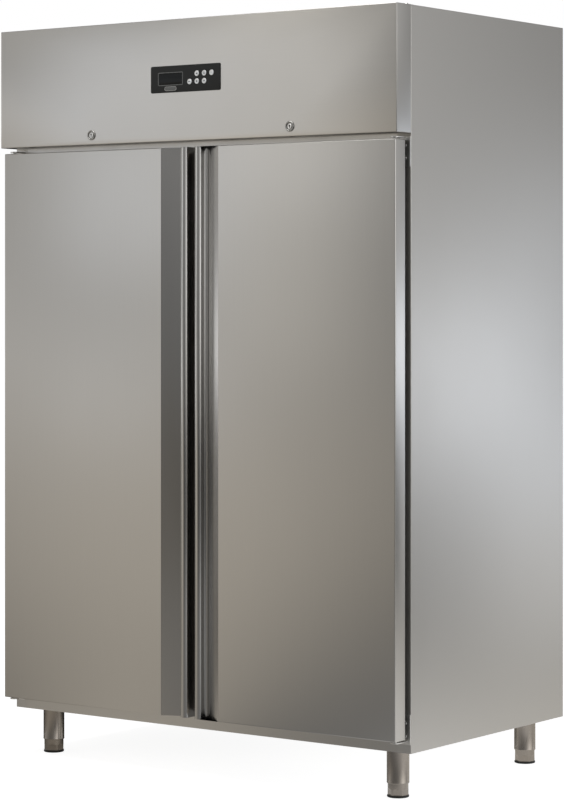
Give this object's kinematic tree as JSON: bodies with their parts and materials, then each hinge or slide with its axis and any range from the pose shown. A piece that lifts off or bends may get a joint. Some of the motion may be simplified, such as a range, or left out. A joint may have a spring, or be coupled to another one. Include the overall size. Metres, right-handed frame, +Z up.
{
  "type": "reach in refrigerator",
  "caption": "Upright stainless steel reach-in refrigerator with paired hinged doors, full-height bar handles, lift-up header with controller and key locks, on adjustable legs.",
  "frame": {"origin": "on the floor at the centre of the overall footprint", "axes": "+Z up, -Y towards the front with the doors, +X to the right seen from the front"},
  "size_m": [1.35, 0.837, 2.054],
  "materials": {
    "stainless_outer": "satin brushed stainless steel",
    "stainless_handle": "bright polished stainless steel",
    "stainless_leg": "polished stainless tube",
    "galvanised_sheet": "matt galvanised sheet",
    "liner_steel": "fine satin stainless steel",
    "foam": "rigid polyurethane foam",
    "gasket_rubber": "matt extruded rubber",
    "nylon_white": "matt nylon",
    "bezel_black": "fine matt moulded plastic",
    "display_dark": "glossy dark lens",
    "button_silver": "metallised plastic",
    "lock_chrome": "bright plated",
    "bracket_steel": "dull pressed steel",
    "screw_steel": "plated",
    "shelf_coating": "smooth plastic coating over wire",
    "coil_aluminium": "thin bright fins",
    "condenser_black": "satin black paint",
    "compressor_black": "satin black paint",
    "grommet_rubber": "matt rubber",
    "copper_pipe": "bare copper tube",
    "motor_grey": "grey paint",
    "fan_plastic": "matt moulded plastic",
    "box_grey": "moulded plastic box",
    "foot_steel": "turned steel foot with a dark pad"
  },
  "bodies": {
    "cabinet": {"side_panel_left": "stainless_outer", "side_panel_right": "stainless_outer", "face_frame": "stainless_outer", "centre_mullion": "stainless_outer", "legs": "stainless_leg", "back_panel": "galvanised_sheet", "base_panel": "galvanised_sheet", "roof_panel": "galvanised_sheet", "rear_grille": "galvanised_sheet", "unit_base": "galvanised_sheet", "drip_tray": "galvanised_sheet", "liner": "liner_steel", "shelf_posts": "liner_steel", "shelf_runners": "liner_steel", "evaporator_cover": "liner_steel", "insulation": "foam", "cable_gland": "bezel_black", "hinge_brackets": "bracket_steel", "screws": "screw_steel", "shelves": "shelf_coating", "evaporator_coil": "coil_aluminium", "condenser_coil": "condenser_black", "compressor": "compressor_black", "compressor_grommets": "grommet_rubber", "refrigerant_pipes": "copper_pipe", "evaporator_fan_motor": "motor_grey", "condenser_fan_motor": "motor_grey", "condenser_shroud": "motor_grey", "electrical_box": "box_grey"},
    "door_left": {"door_left_skin": "stainless_outer", "door_left_foam": "foam", "door_left_liner": "liner_steel", "door_left_gasket": "gasket_rubber", "door_left_handle": "stainless_handle", "door_left_bushes": "nylon_white"},
    "door_right": {"door_right_skin": "stainless_outer", "door_right_foam": "foam", "door_right_liner": "liner_steel", "door_right_gasket": "gasket_rubber", "door_right_handle": "stainless_handle", "door_right_bushes": "nylon_white"},
    "header": {"header_panel": "stainless_outer", "control_bezel": "bezel_black", "display_lens": "display_dark", "control_board": "box_grey", "lock_bodies": "lock_chrome"},
    "button_1": {"button_1": "button_silver"},
    "button_2": {"button_2": "button_silver"},
    "button_3": {"button_3": "button_silver"},
    "button_4": {"button_4": "button_silver"},
    "button_5": {"button_5": "button_silver"},
    "button_6": {"button_6": "button_silver"},
    "lock_left": {"lock_barrel_left": "lock_chrome"},
    "lock_right": {"lock_barrel_right": "lock_chrome"},
    "evaporator_fan": {"evaporator_fan": "fan_plastic"},
    "condenser_fan": {"condenser_fan": "fan_plastic"},
    "foot_front_left": {"foot_front_left": "foot_steel"},
    "foot_front_right": {"foot_front_right": "foot_steel"},
    "foot_back_left": {"foot_back_left": "foot_steel"},
    "foot_back_right": {"foot_back_right": "foot_steel"}
  },
  "joints": [
    {"name": "door_left_hinge", "type": "hinge", "parent": "cabinet", "child": "door_left", "pos_m": [-0.65, -0.3852, 0.934], "axis": [0, 0, -1], "range_deg": [0, 110]},
    {"name": "door_right_hinge", "type": "hinge", "parent": "cabinet", "child": "door_right", "pos_m": [0.65, -0.3852, 0.934], "axis": [0, 0, 1], "range_deg": [0, 110]},
    {"name": "header_hinge", "type": "hinge", "parent": "cabinet", "child": "header", "pos_m": [0, -0.3535, 2.051], "axis": [-1, 0, 0], "range_deg": [0, 80]},
    {"name": "button_1_press", "type": "slide", "parent": "header", "child": "button_1", "axis": [0, 1, 0], "range_m": [0, 0.0008], "stiffness_N_per_m": 400},
    {"name": "button_2_press", "type": "slide", "parent": "header", "child": "button_2", "axis": [0, 1, 0], "range_m": [0, 0.0008], "stiffness_N_per_m": 400},
    {"name": "button_3_press", "type": "slide", "parent": "header", "child": "button_3", "axis": [0, 1, 0], "range_m": [0, 0.0008], "stiffness_N_per_m": 400},
    {"name": "button_4_press", "type": "slide", "parent": "header", "child": "button_4", "axis": [0, 1, 0], "range_m": [0, 0.0008], "stiffness_N_per_m": 400},
    {"name": "button_5_press", "type": "slide", "parent": "header", "child": "button_5", "axis": [0, 1, 0], "range_m": [0, 0.0008], "stiffness_N_per_m": 400},
    {"name": "button_6_press", "type": "slide", "parent": "header", "child": "button_6", "axis": [0, 1, 0], "range_m": [0, 0.0008], "stiffness_N_per_m": 400},
    {"name": "lock_left_turn", "type": "hinge", "parent": "header", "child": "lock_left", "pos_m": [-0.339, -0.4155, 1.746], "axis": [0, -1, 0], "range_deg": [0, 90]},
    {"name": "lock_right_turn", "type": "hinge", "parent": "header", "child": "lock_right", "pos_m": [0.339, -0.4155, 1.746], "axis": [0, 1, 0], "range_deg": [0, 90]},
    {"name": "evaporator_fan_spin", "type": "hinge", "parent": "cabinet", "child": "evaporator_fan", "pos_m": [0, -0.1555, 1.5988], "axis": [0, 1, 0], "continuous": true},
    {"name": "condenser_fan_spin", "type": "hinge", "parent": "cabinet", "child": "condenser_fan", "pos_m": [0.12, -0.1783, 1.862], "axis": [0, 1, 0], "continuous": true},
    {"name": "foot_front_left_screw", "type": "slide", "parent": "cabinet", "child": "foot_front_left", "axis": [0, 0, 1], "range_m": [-0.025, 0.014]},
    {"name": "foot_front_right_screw", "type": "slide", "parent": "cabinet", "child": "foot_front_right", "axis": [0, 0, 1], "range_m": [-0.025, 0.014]},
    {"name": "foot_back_left_screw", "type": "slide", "parent": "cabinet", "child": "foot_back_left", "axis": [0, 0, 1], "range_m": [-0.025, 0.014]},
    {"name": "foot_back_right_screw", "type": "slide", "parent": "cabinet", "child": "foot_back_right", "axis": [0, 0, 1], "range_m": [-0.025, 0.014]}
  ]
}
